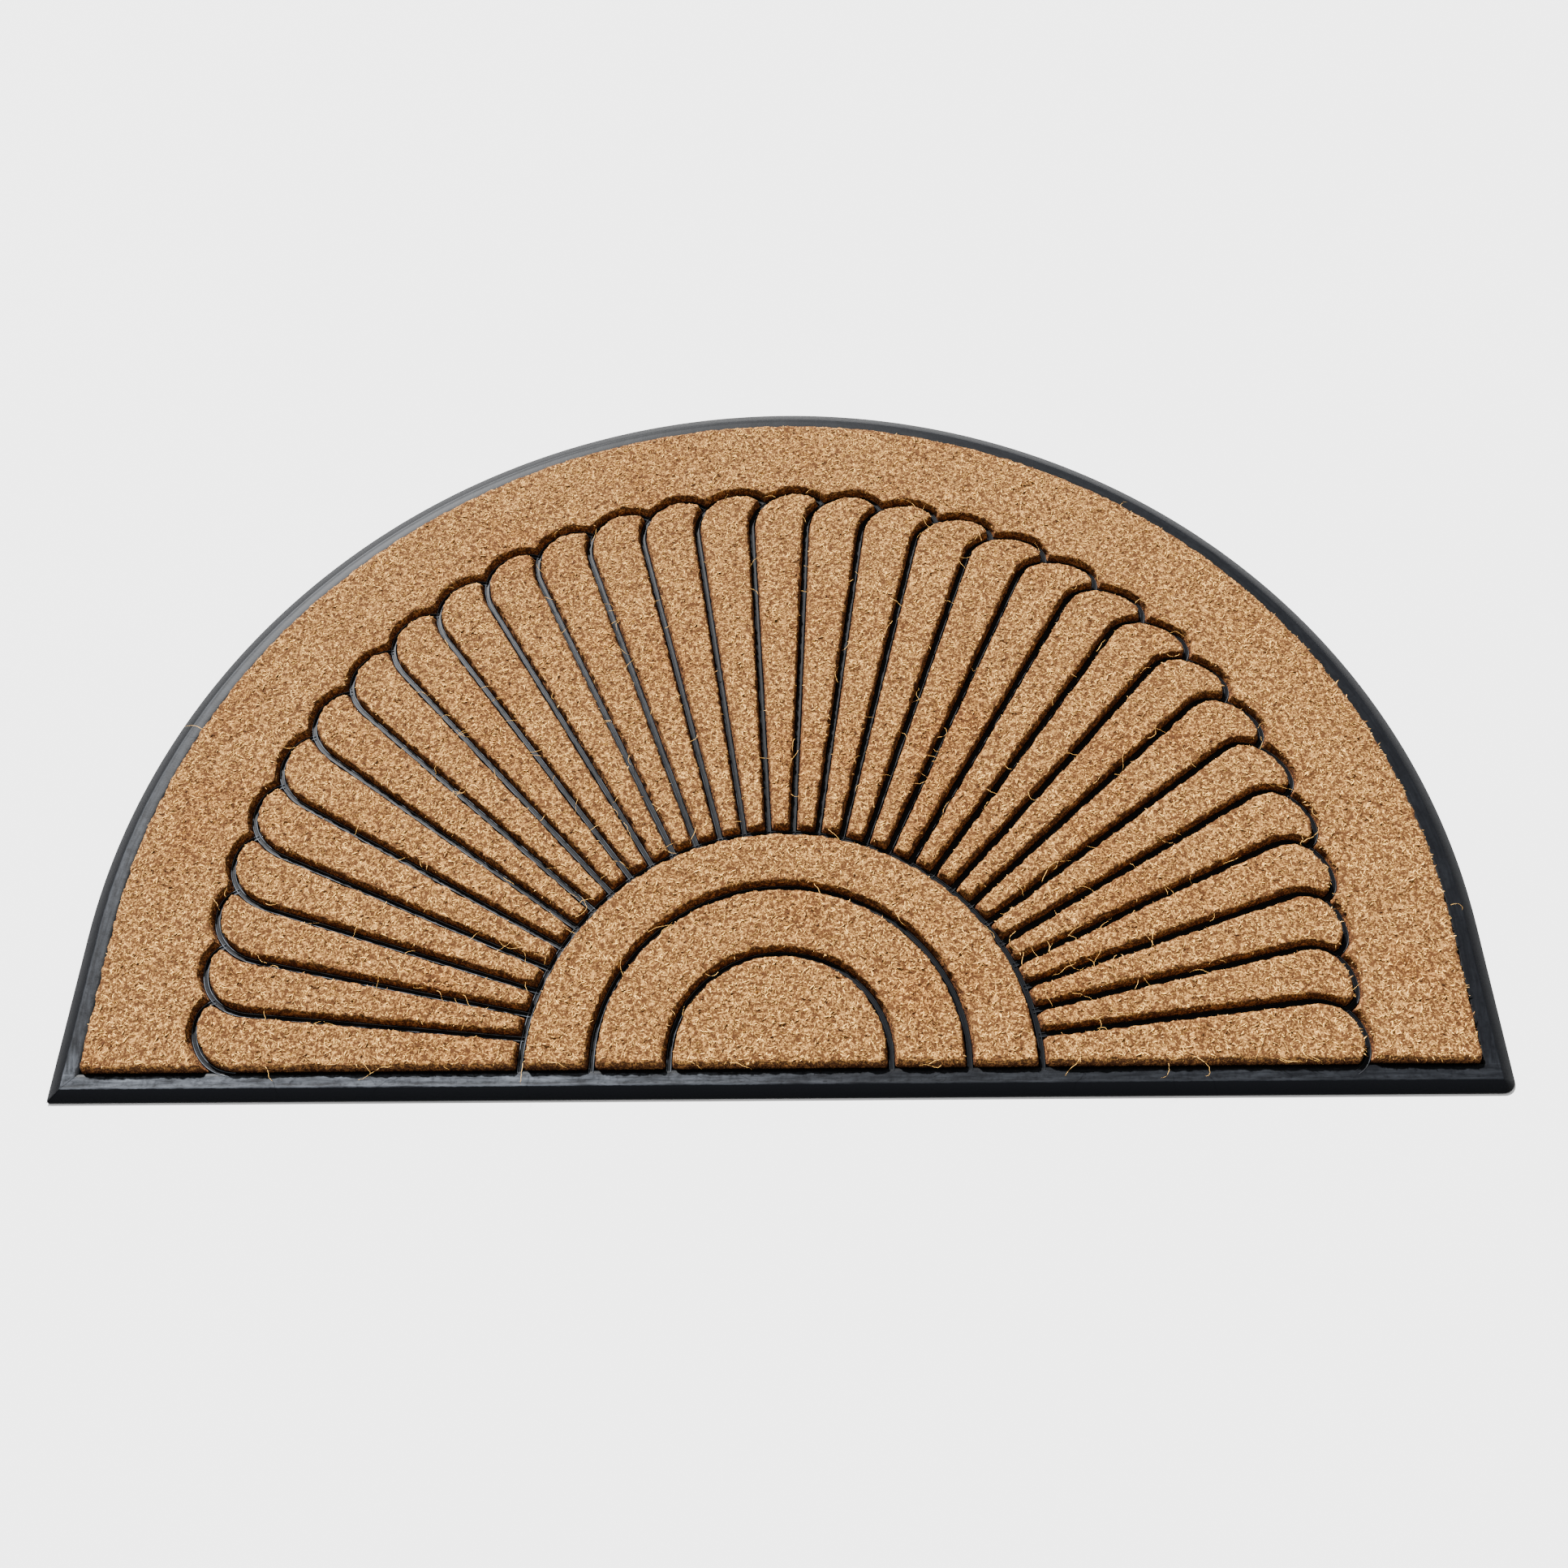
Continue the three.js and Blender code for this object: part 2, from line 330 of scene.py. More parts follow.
def behind_front_border(outline):
    """The part of an outline behind the front border, with no very short edges."""
    limit = CELL_MARGIN - TOLERANCE
    kept = []
    for point, after in zip(outline, np.roll(outline, -1, axis=0)):
        behind = point[1] >= limit
        if behind:
            kept.append(point)
        if behind != (after[1] >= limit):
            share = (CELL_MARGIN - point[1]) / (after[1] - point[1])
            kept.append(point + share * (after - point))
    return np.array([
        point for point, before in zip(kept, kept[-1:] + kept[:-1])
        if np.linalg.norm(point - before) > SHORTEST_EDGE
    ])


def petal_cell(k):
    foot = ring_arc(FAN_RADIUS, (k + 1) * PITCH, k * PITCH, PETAL_FOOT_STEPS)
    near_side = rib_to_notch(k, CELL_STEPS)
    far_side = rib_to_notch(k + 1, CELL_STEPS)[::-1]
    loop = np.vstack([near_side, rib_over_tip(k, CELL_STEPS)[1:], far_side[1:], foot])
    return behind_front_border(loop[::-1])


def outer_band_cell():
    half = ROUND_RADIUS - CELL_MARGIN
    rim = corner_arc(np.array([0.0, SIDE_LENGTH]), half, 0, math.pi, BAND_RIM_STEPS)
    bend, notch = rib_to_notch(0, CELL_STEPS)[-2:]
    curl = notch + (bend - notch) * (CELL_MARGIN - notch[1]) / (bend[1] - notch[1])
    scallops = [rib_over_tip(k, CELL_STEPS) for k in range(PETALS)]
    loop = np.vstack([
        onto_border(rim[-1])[None],
        curl[None],
        *[scallop[:-1] for scallop in scallops],
        scallops[-1][-1:],
        onto_border(rim[0])[None],
        rim,
    ])
    return behind_front_border(loop)


def ring_cell(index):
    outer = ring_line(RINGS[index], RING_CELL_STEP)[::-1]
    return outer if index == 0 else np.vstack([outer, ring_line(RINGS[index - 1], RING_CELL_STEP)])


def drawn_in(outline, distance):
    """Each point moved in along the two edges that meet there."""
    before = outline - np.roll(outline, 1, axis=0)
    before /= np.linalg.norm(before, axis=1)[:, None]
    after = np.roll(before, -1, axis=0)
    shift = np.stack([-before[:, 1] - after[:, 1], before[:, 0] + after[:, 0]], 1)
    return outline + shift * (distance / (1 + (before * after).sum(1)))[:, None]


def edge_shares(outline, spacing):
    """Edge number and share along it of points spaced evenly round a closed outline."""
    lengths = np.linalg.norm(np.roll(outline, -1, axis=0) - outline, axis=1)
    counts = np.maximum(np.round(lengths / spacing).astype(int), 1)
    edges = np.repeat(np.arange(len(outline)), counts)
    shares = np.concatenate([np.arange(n) / n for n in counts])
    return edges, shares


def along_outline(outline, edges, shares):
    return outline[edges] + (np.roll(outline, -1, axis=0)[edges] - outline[edges]) * shares[:, None]


def softened(loop, passes):
    for _ in range(passes):
        loop = loop / 2 + (np.roll(loop, 1, axis=0) + np.roll(loop, -1, axis=0)) / 4
    return loop


# Unevenness of the pile

def patches(points, size, seed):
    """Smooth noise from -1 to 1 over plan points, with patches of about the given size."""
    cells = np.random.default_rng(seed).uniform(-1, 1, (NOISE_CELLS, NOISE_CELLS))
    scaled = points[:, :2] / size + NOISE_ORIGIN
    low = np.floor(scaled).astype(int)
    share = scaled - low
    share = share * share * (3 - 2 * share)
    x0, y0 = low[:, 0] % NOISE_CELLS, low[:, 1] % NOISE_CELLS
    x1, y1 = (x0 + 1) % NOISE_CELLS, (y0 + 1) % NOISE_CELLS
    near = cells[x0, y0] * (1 - share[:, 0]) + cells[x1, y0] * share[:, 0]
    far = cells[x0, y1] * (1 - share[:, 0]) + cells[x1, y1] * share[:, 0]
    return near * (1 - share[:, 1]) + far * share[:, 1]


def pile_height(points):
    """Height of the sheared pile over its even level."""
    return sum(bump["height"] * patches(points, bump["size"], bump["seed"]) for bump in PILE_BUMPS)


# Meshes

def to_world(points):
    """Plan points in millimetres, with heights, as places in the frame."""
    return (np.asarray(points) + np.array([0.0, FRONT_EDGE, 0.0])) * MM


def with_height(loop, z):
    return np.column_stack([loop, np.broadcast_to(z, len(loop))])


def make_piece(name, points, faces, material, smooth=True, strand=None):
    mesh = bpy.data.meshes.new(name)
    mesh.from_pydata(to_world(points).tolist(), [], faces)
    mesh.materials.append(material)
    mesh.polygons.foreach_set("use_smooth", [smooth] * len(mesh.polygons))
    if strand is not None:
        values = mesh.attributes.new("strand", "FLOAT", "POINT").data
        values.foreach_set("value", strand.astype(np.float32))
    mesh.update()
    piece = bpy.data.objects.new(name, mesh)
    bpy.context.scene.collection.objects.link(piece)
    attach(piece, "root")
    return piece


def band_faces(count, low, high):
    """Quads between two closed loops of equal numbers of points."""
    after = [(i + 1) % count for i in range(count)]
    return [(low + i, low + j, high + j, high + i) for i, j in enumerate(after)]


def open_stack(count, loops):
    """The face under a stack of loops of equal numbers of points, and the quads up its sides."""
    faces = [tuple(range(count))[::-1]]
    for i in range(loops - 1):
        faces += band_faces(count, i * count, (i + 1) * count)
    return faces


def closed_stack(count, loops):
    return open_stack(count, loops) + [tuple(range((loops - 1) * count, loops * count))]


def tube_faces(steps, sides=3):
    """Faces of a closed tube, whose points go round it at each end of every step."""
    last = sides * steps
    faces = [tuple(range(sides)), tuple(range(last, last + sides))[::-1]]
    for i in range(steps):
        low, high = sides * i, sides * (i + 1)
        faces += [(low + j, high + j, high + (j + 1) % sides, low + (j + 1) % sides) for j in range(sides)]
    return faces


def joined(parts):
    """The points and faces of several meshes as one."""
    points, faces = [], []
    start = 0
    for part_points, part_faces in parts:
        points.append(part_points)
        faces += [tuple(start + v for v in face) for face in part_faces]
        start += len(part_points)
    return np.vstack(points), faces


def inside(points, outline):
    """Which of the points lie inside a closed outline."""
    found = np.zeros(len(points), bool)
    x, y = points.T
    for start, end in zip(outline, np.roll(outline, -1, axis=0)):
        crossed = np.nonzero((start[1] <= y) != (end[1] <= y))[0]
        if len(crossed):
            share = (y[crossed] - start[1]) / (end[1] - start[1])
            found[crossed] ^= x[crossed] < start[0] + share * (end[0] - start[0])
    return found


def rows_between(outline, spacing):
    """Points of a staggered lattice inside an outline."""
    found = []
    rise = spacing * math.sqrt(3) / 2
    start, end = outline, np.roll(outline, -1, axis=0)
    for row, y in enumerate(np.arange(outline[:, 1].min() + rise / 2, outline[:, 1].max(), rise)):
        cut = (start[:, 1] <= y) != (end[:, 1] <= y)
        a, b = start[cut], end[cut]
        crossings = np.sort(a[:, 0] + (b[:, 0] - a[:, 0]) * (y - a[:, 1]) / (b[:, 1] - a[:, 1]))
        for x0, x1 in zip(crossings[::2], crossings[1::2]):
            first = math.ceil(x0 / spacing - 0.5 * (row % 2)) + 0.5 * (row % 2)
            xs = np.arange(first * spacing, x1, spacing)
            found.append(np.column_stack([xs, np.full(len(xs), y)]))
    return np.vstack(found)


def block_sides(cell, edges, shares, random):
    """Loops up the rough sides of a block, from its foot to the rim of its top."""
    loops = []
    for i, level in enumerate(PILE_SECTION):
        line = along_outline(drawn_in(cell, level["inset"]), edges, shares)
        line = softened(line, SIDE_SOFTENING + i)
        along = np.roll(line, -1, axis=0) - np.roll(line, 1, axis=0)
        outward = np.column_stack([along[:, 1], -along[:, 0]]) / np.linalg.norm(along, axis=1)[:, None]
        broad = BROAD_SWELL * patches(line, SWELL_SIZE, SWELL_SEED)
        swell = level["rough"] * (broad + FINE_SWELL * random.uniform(-1, 1, len(line)))
        line = line + outward * swell[:, None]
        loops.append(with_height(line, level["z"] + level["uneven"] * pile_height(line)))
    return loops


def block_top(rim, lattice, first, random):
    """New points and faces that fill a rim, whose own points are numbered on from the first."""
    count = len(rim)
    flat = [Vector(p) for p in np.vstack([rim, lattice])]
    ring = [(i, (i + 1) % count) for i in range(count)]
    places, _, triangles, origins = geometry.delaunay_2d_cdt(flat, ring, [], 1, MERGE_DISTANCE)[:4]
    places = np.array([tuple(place) for place in places])
    jitter = random.uniform(-TOP_JITTER, TOP_JITTER, len(places))
    heights = PILE_TOP + pile_height(places) + jitter
    numbers = {}
    for index, sources in enumerate(origins):
        for source in sources:
            if source < count:
                numbers[index] = first + source
    points = []
    for index, place in enumerate(places):
        if index not in numbers:
            numbers[index] = first + count + len(points)
            points.append((*place, heights[index]))
    return points, [tuple(numbers[v] for v in face) for face in triangles]


def pile_block(name, cell, random):
    """A coir block: rough upright sides under an uneven sheared top."""
    edges, shares = edge_shares(cell, SIDE_SPACING)
    loops = block_sides(cell, edges, shares, random)
    rim = loops[-1][:, :2]
    inset = PILE_SECTION[-1]["inset"] + TOP_MARGIN
    inner = softened(along_outline(drawn_in(cell, inset), edges, shares), TOP_SOFTENING)
    lattice = rows_between(inner, PILE_SPACING)
    lattice = lattice + random.uniform(-LATTICE_JITTER, LATTICE_JITTER, lattice.shape) * PILE_SPACING
    top_points, top_faces = block_top(rim, lattice, (len(loops) - 1) * len(rim), random)
    faces = open_stack(len(rim), len(loops)) + top_faces
    piece = make_piece(name + "_pile", np.vstack([*loops, top_points]), faces, COIR_PILE)
    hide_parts(name)
    return rim, lattice


def directions(headings):
    return np.column_stack([np.cos(headings), np.sin(headings)])


def lengths(kind, random, count=None):
    return random.gamma(kind["shape"], kind["scale"], count) + kind["shortest"]


def fibres(roots, headings, rise, length, width, random):
    """Closed slivers with a low ridge across the middle, one for each fibre."""
    count = len(roots)
    along = with_height(directions(headings), 0.0)
    roll = random.uniform(-FIBRE_ROLL, FIBRE_ROLL, count)
    across = np.column_stack([
        -np.sin(headings) * np.cos(roll), np.cos(headings) * np.cos(roll), np.sin(roll)
    ])
    tip = roots + along * length[:, None]
    tip[:, 2] += rise
    middle = roots + (tip - roots) * random.uniform(*FIBRE_MIDDLES, count)[:, None]
    middle = middle + across * (random.uniform(-FIBRE_BEND, FIBRE_BEND, count) * length)[:, None]
    middle[:, 2] += RIDGE_HEIGHT + RIDGE_GROWTH * length
    half = across * width[:, None] / 2
    points = np.stack([roots, tip, middle + half, middle - half], 1).reshape(-1, 3)
    starts = np.arange(count)[:, None, None] * SLIVER_POINTS
    faces = (starts + np.array(SLIVER_FACES)).reshape(-1, 3)
    return points, faces


def lying_fibres(rim, inner, random):
    """Fibres that lie matted on a block's top, shorter or none where they would pass its edge."""
    area = len(inner) * PILE_SPACING ** 2 * math.sqrt(3) / 2
    count = int(area * TOP_FIBRES)
    spots = inner[random.integers(0, len(inner), count)]
    spots = spots + random.uniform(-1, 1, (count, 2)) * PILE_SPACING * LYING_JITTER
    headings = random.uniform(-math.pi, math.pi, count)
    ahead = directions(headings)
    length = lengths(LYING_LENGTH, random, count)
    level = PILE_TOP - LYING_SINK + pile_height(spots) + random.normal(0, LYING_DEPTHS, count)
    rise = random.normal(0.0, LYING_TILT, count)
    for shorter in LYING_CUTS:
        reach = ahead * length[:, None] / 2
        over = ~(inside(spots - reach, rim) & inside(spots + reach, rim))
        length[over] *= shorter
    kept = length > 0
    starts = (spots - ahead * length[:, None] / 2)[kept]
    return with_height(starts, level[kept]), headings[kept], rise[kept], length[kept]


def leaning_fibres(rim, random):
    """Fibres that lean out a little over a block's edge, longer at the mat's right end."""
    ahead = np.roll(rim, -1, axis=0) - rim
    gaps = np.linalg.norm(ahead, axis=1)
    count = int(gaps.sum() * EDGE_FIBRES)
    edge = random.choice(len(rim), count, p=gaps / gaps.sum())
    out = np.arctan2(-ahead[edge, 0], ahead[edge, 1])
    drop = random.uniform(0, 1, count) ** DROP_CROWDING * LEANING_DROP
    back = random.uniform(*LEANING_BACK, count) - drop * BACK_PER_DROP
    spots = rim[edge] + ahead[edge] * random.uniform(0, 1, count)[:, None]
    spots = spots - directions(out) * back[:, None]
    length = lengths(LEANING_LENGTH, random, count)
    length = length * np.where(spots[:, 0] > FRINGE_FROM, FRINGE_LENGTH, 1.0)
    rise = random.uniform(*LEANING_RISES, count)
    headings = out + random.normal(0, LEANING_SPLAY, count)
    return with_height(spots, PILE_TOP - LEANING_SINK - drop), headings, rise, length


def fibre_piece(name, parts, random):
    roots, headings, rise, length = (np.concatenate(part) for part in zip(*parts))
    width = random.uniform(*FIBRE_WIDTHS, len(roots))
    points, faces = fibres(roots, headings, rise, length, width, random)
    tone = np.repeat(random.beta(FIBRE_TONES, FIBRE_TONES, len(roots)), SLIVER_POINTS)
    make_piece(name, points, faces.tolist(), COIR_FIBRE, smooth=False, strand=tone)


def hair(root, heading, length, random):
    """One long loose fibre, as a closed tube of three sides along a curling line."""
    turns = np.cumsum(random.normal(0, HAIR_KINK, HAIR_STEPS)) + heading
    turns = turns + random.uniform(-HAIR_CURL, HAIR_CURL) * np.arange(HAIR_STEPS)
    line = np.zeros((HAIR_STEPS + 1, 3))
    line[0] = root
    line[1:, 0] = root[0] + np.cumsum(np.cos(turns)) * length / HAIR_STEPS
    line[1:, 1] = root[1] + np.cumsum(np.sin(turns)) * length / HAIR_STEPS
    share = np.linspace(0, 1, HAIR_STEPS + 1)
    arch = random.uniform(*HAIR_ARCH) * np.sin(math.pi * share)
    line[:, 2] = root[2] + arch - random.uniform(*HAIR_SAG) * share
    turns = np.append(turns, turns[-1])
    side = np.column_stack([-np.sin(turns), np.cos(turns), np.zeros(HAIR_STEPS + 1)])
    thick = random.uniform(*HAIR_HALF_WIDTHS) * np.sqrt(HAIR_TAPER - share)[:, None]
    up = np.array([0.0, 0.0, 1.0])
    points = np.stack([line + side * thick, line + up * thick, line - side * thick], 1)
    return points.reshape(-1, 3), tube_faces(HAIR_STEPS)


def loose_hairs(rims):
    """Stray hairs that lie over the edges of the blocks."""
    random = np.random.default_rng(HAIR_SEED)
    hairs, tones = [], []
    for _ in range(HAIRS):
        rim = rims[random.integers(0, len(rims))]
        spot = rim[random.integers(0, len(rim))] + random.uniform(-HAIR_SPREAD, HAIR_SPREAD, 2)
        heading = random.uniform(-math.pi, math.pi)
        length = lengths(HAIR_LENGTH, random)
        made = hair((*spot, PILE_TOP + HAIR_LIFT), heading, length, random)
        hairs.append(made)
        tones.append(np.full(len(made[0]), random.uniform(*HAIR_TONES)))
    points, faces = joined(hairs)
    make_piece("loose_hairs", points, faces, COIR_FIBRE, strand=np.concatenate(tones))


# Shader groups

# Sockets of a mix node: the share, then the two colours or the two vectors
MIX_SHARE = 0
MIX_COLOURS = (6, 7)
MIXED_COLOUR = 2
MIX_VECTORS = (4, 5)
MIXED_VECTOR = 1

# Coir: colours, noise scales in waves per metre, and the noise values between which each tone sets in
COIR_LIGHT = (1.0, 0.57, 0.145)
COIR_MIDDLE = (0.44, 0.22, 0.060)
COIR_DARK = (0.066, 0.025, 0.007)
COIR_SHADE = (0.75, 0.62, 0.72)
COIR_STAIN = (0.72, 0.56, 0.42)
TUFT = {"scale": 210.0, "share": 0.9}
FLECK = {"scale": 620.0, "share": 1.1}
LIGHT_TONES = (1.08, 1.5)
DARK_TONES = (1.0, 0.68)
SHADED_PIT_SCALE = 330.0
SHADED_PIT_RANGE = (0.455, 0.37, 0.0, 0.95)
STAIN_SCALE = 9.0
STAIN_RANGE = (0.53, 0.72, 0.0, 0.55)
SHADE_TOP = 0.0135
SHADE_FOOT = 0.008
COIR_SPECULAR = 0.15
PILE_LOOK = {"roughness": 0.95, "tone": -0.24}
FIBRE_LOOK = {"roughness": 0.75, "tone": (-0.5, 1.0)}
PILE_RELIEF = {"scale": 700.0, "distance": 0.001, "strength": 1.0}

# Rubber: dust lies from the height of the ledge up, most at the front, and a painted sheen makes it
# strongest at the left;
# the ribs' lips carry a painted highlight, most at the left
RUBBER_BLACK = (0.0026, 0.0029, 0.0038)
RUBBER_DUST_AND_SHEEN = (0.118, 0.13, 0.15)
RUBBER_SHINE = {"roughness": 0.5, "specular": 0.06}
RUBBER_ROUGHNESS = (0.0, 0.8, 0.42, 0.7)
RUBBER_RELIEF = {"distance": 0.0004, "strength": 0.35}
DUST_AND_SHEEN_HEIGHT = (BORDER_TOP - 0.1) * MM
DUST_AND_SHEEN_FADE = 0.0002
RAGGED = {"scale": 230.0, "height": 0.0005}
STREAK_STRETCH = (1.0, 9.0, 1.0)
STREAK_SCALE = 34.0
STREAK_RANGE = (0.36, 0.66, 0.15, 1.0)
CLOUD_SCALE = 16.0
CLOUD_RANGE = (0.3, 0.66, 0.45, 1.0)
LEFT_LEAN = 0.35
LEFT_RANGE = (-0.35, -0.05, 0.24, 0.04)
FRONT_RANGE = (-0.33, -0.355, 1.0, 3.0)
LIP_RANGE = ((BORDER_TOP + 0.02) * MM, (BORDER_TOP + 0.12) * MM)
LIP_HIGHLIGHT_SCALE = 90.0
LIP_HIGHLIGHT_RANGE = (0.35, 0.6, 0.25, 1.0)
LIP_HIGHLIGHT_LEFT_RANGE = (-0.35, 0.0, 1.0, 0.12)
FINE_SKIN = {"scale": 900.0, "share": 0.4}
BROAD_SKIN_SCALE = 60.0

def new_group(name, inputs, outputs):
    group = bpy.data.node_groups.new(name, "ShaderNodeTree")
    for label, kind, value in inputs:
        socket = group.interface.new_socket(label, in_out="INPUT", socket_type=kind)
        socket.default_value = value
    for label, kind in outputs:
        group.interface.new_socket(label, in_out="OUTPUT", socket_type=kind)
    return group, group.nodes.new("NodeGroupInput"), group.nodes.new("NodeGroupOutput")


def add_node(tree, kind, **settings):
    node = tree.nodes.new(kind)
    for key, value in settings.items():
        setattr(node, key, value)
    return node


def join(tree, *pairs):
    for source, target in pairs:
        tree.links.new(source, target)


def noise(tree, place, scale, detail=2.0, roughness=0.55):
    node = add_node(tree, "ShaderNodeTexNoise")
    node.inputs["Detail"].default_value = detail
    node.inputs["Roughness"].default_value = roughness
    if isinstance(scale, (int, float)):
        node.inputs["Scale"].default_value = scale
    else:
        join(tree, (scale, node.inputs["Scale"]))
    join(tree, (place, node.inputs["Vector"]))
    return node.outputs["Fac"]


def remap(tree, value, low, high, to_low=0.0, to_high=1.0):
    node = add_node(tree, "ShaderNodeMapRange", clamp=True)
    for label, number in (("From Min", low), ("From Max", high), ("To Min", to_low), ("To Max", to_high)):
        node.inputs[label].default_value = number
    join(tree, (value, node.inputs["Value"]))
    return node.outputs["Result"]


def between(tree, value, low, high):
    """Share of the way from one socket's value to another's, from 0 to 1."""
    node = add_node(tree, "ShaderNodeMapRange", clamp=True)
    for source, label in ((value, "Value"), (low, "From Min"), (high, "From Max")):
        join(tree, (source, node.inputs[label]))
    return node.outputs["Result"]


def calculate(tree, operation, *values):
    node = add_node(tree, "ShaderNodeMath", operation=operation)
    for socket, value in zip(node.inputs, values):
        if isinstance(value, (int, float)):
            socket.default_value = value
        else:
            join(tree, (value, socket))
    return node.outputs[0]


def product(tree, first, *others):
    for other in others:
        first = calculate(tree, "MULTIPLY", first, other)
    return first


def blend_colour(tree, share, first, second, mode="MIX"):
    node = add_node(tree, "ShaderNodeMix", data_type="RGBA", blend_type=mode)
    for socket, value in zip((MIX_SHARE, *MIX_COLOURS), (share, first, second)):
        if isinstance(value, (int, float)):
            node.inputs[socket].default_value = value
        elif isinstance(value, tuple):
            node.inputs[socket].default_value = (*value, 1.0)
        else:
            join(tree, (value, node.inputs[socket]))
    return node.outputs[MIXED_COLOUR]


def position(tree):
    return add_node(tree, "ShaderNodeNewGeometry").outputs["Position"]


def axes_of(tree, place):
    parts = add_node(tree, "ShaderNodeSeparateXYZ")
    join(tree, (place, parts.inputs[0]))
    return parts.outputs["X"], parts.outputs["Y"], parts.outputs["Z"]


def coir_tone_group():
    """Colour of coir: light and dark fibre, tufts, painted shade in small pits between the fibres, and
    brown weathered patches.
    """
    group, given, put = new_group("coir_tone", [
        ("Fibre", "NodeSocketFloat", 0.5),
        ("Light", "NodeSocketColor", (*COIR_LIGHT, 1.0)),
        ("Middle", "NodeSocketColor", (*COIR_MIDDLE, 1.0)),
        ("Dark", "NodeSocketColor", (*COIR_DARK, 1.0)),
        ("Patch Size", "NodeSocketFloat", STAIN_SCALE),
    ], [("Color", "NodeSocketColor")])
    place = position(group)
    tuft = noise(group, place, TUFT["scale"], detail=3.0)
    fleck = noise(group, place, FLECK["scale"], detail=2.0)
    patch = noise(group, place, given.outputs["Patch Size"], detail=3.0, roughness=0.6)
    tone = calculate(group, "ADD", given.outputs["Fibre"], product(group, tuft, TUFT["share"]))
    tone = calculate(group, "ADD", tone, product(group, fleck, FLECK["share"]))
    lit = remap(group, tone, *LIGHT_TONES)
    dim = remap(group, tone, *DARK_TONES)
    colour = blend_colour(group, lit, given.outputs["Middle"], given.outputs["Light"])
    colour = blend_colour(group, dim, colour, given.outputs["Dark"])
    # Painted shade: small dark spots stand for the shaded pits between the fibres
    shaded_pits = remap(group, noise(group, place, SHADED_PIT_SCALE, detail=1.0), *SHADED_PIT_RANGE)
    colour = blend_colour(group, shaded_pits, colour, given.outputs["Dark"])
    stain = remap(group, patch, *STAIN_RANGE)
    colour = blend_colour(group, stain, colour, COIR_STAIN, "MULTIPLY")
    join(group, (colour, put.inputs["Color"]))
    return group


def depth_group():
    """How deep a point lies under the pile's top: 0 at the top height and 1 at the foot height."""
    group, given, put = new_group("pile_depth", [
        ("Top", "NodeSocketFloat", SHADE_TOP),
        ("Foot", "NodeSocketFloat", SHADE_FOOT),
    ], [("Depth", "NodeSocketFloat")])
    height = axes_of(group, position(group))[2]
    depth = between(group, height, given.outputs["Top"], given.outputs["Foot"])
    join(group, (depth, put.inputs["Depth"]))
    return group


def along_border(tree, place):
    """Place measured along and across the border, for streaks that follow it."""
    x, y, _ = axes_of(tree, place)
    from_centre = calculate(tree, "SUBTRACT", y, (FRONT_EDGE + SIDE_LENGTH) * MM)
    turn = calculate(tree, "ARCTAN2", from_centre, x)
    squares = calculate(tree, "ADD", product(tree, x, x), product(tree, from_centre, from_centre))
    reach = calculate(tree, "SQRT", squares)
    in_front = calculate(tree, "LESS_THAN", y, (FRONT_EDGE + BORDER_WIDTH) * MM)
    straight = add_node(tree, "ShaderNodeCombineXYZ")
    round_way = add_node(tree, "ShaderNodeCombineXYZ")
    join(tree, (x, straight.inputs["X"]), (y, straight.inputs["Y"]),
         (product(tree, turn, ROUND_RADIUS * MM), round_way.inputs["X"]), (reach, round_way.inputs["Y"]))
    either = add_node(tree, "ShaderNodeMix", data_type="VECTOR")
    join(tree, (in_front, either.inputs[MIX_SHARE]),
         (round_way.outputs[0], either.inputs[MIX_VECTORS[0]]),
         (straight.outputs[0], either.inputs[MIX_VECTORS[1]]))
    stretched = add_node(tree, "ShaderNodeVectorMath", operation="MULTIPLY")
    stretched.inputs[1].default_value = STREAK_STRETCH
    join(tree, (either.outputs[MIXED_VECTOR], stretched.inputs[0]))
    return stretched.outputs[0]


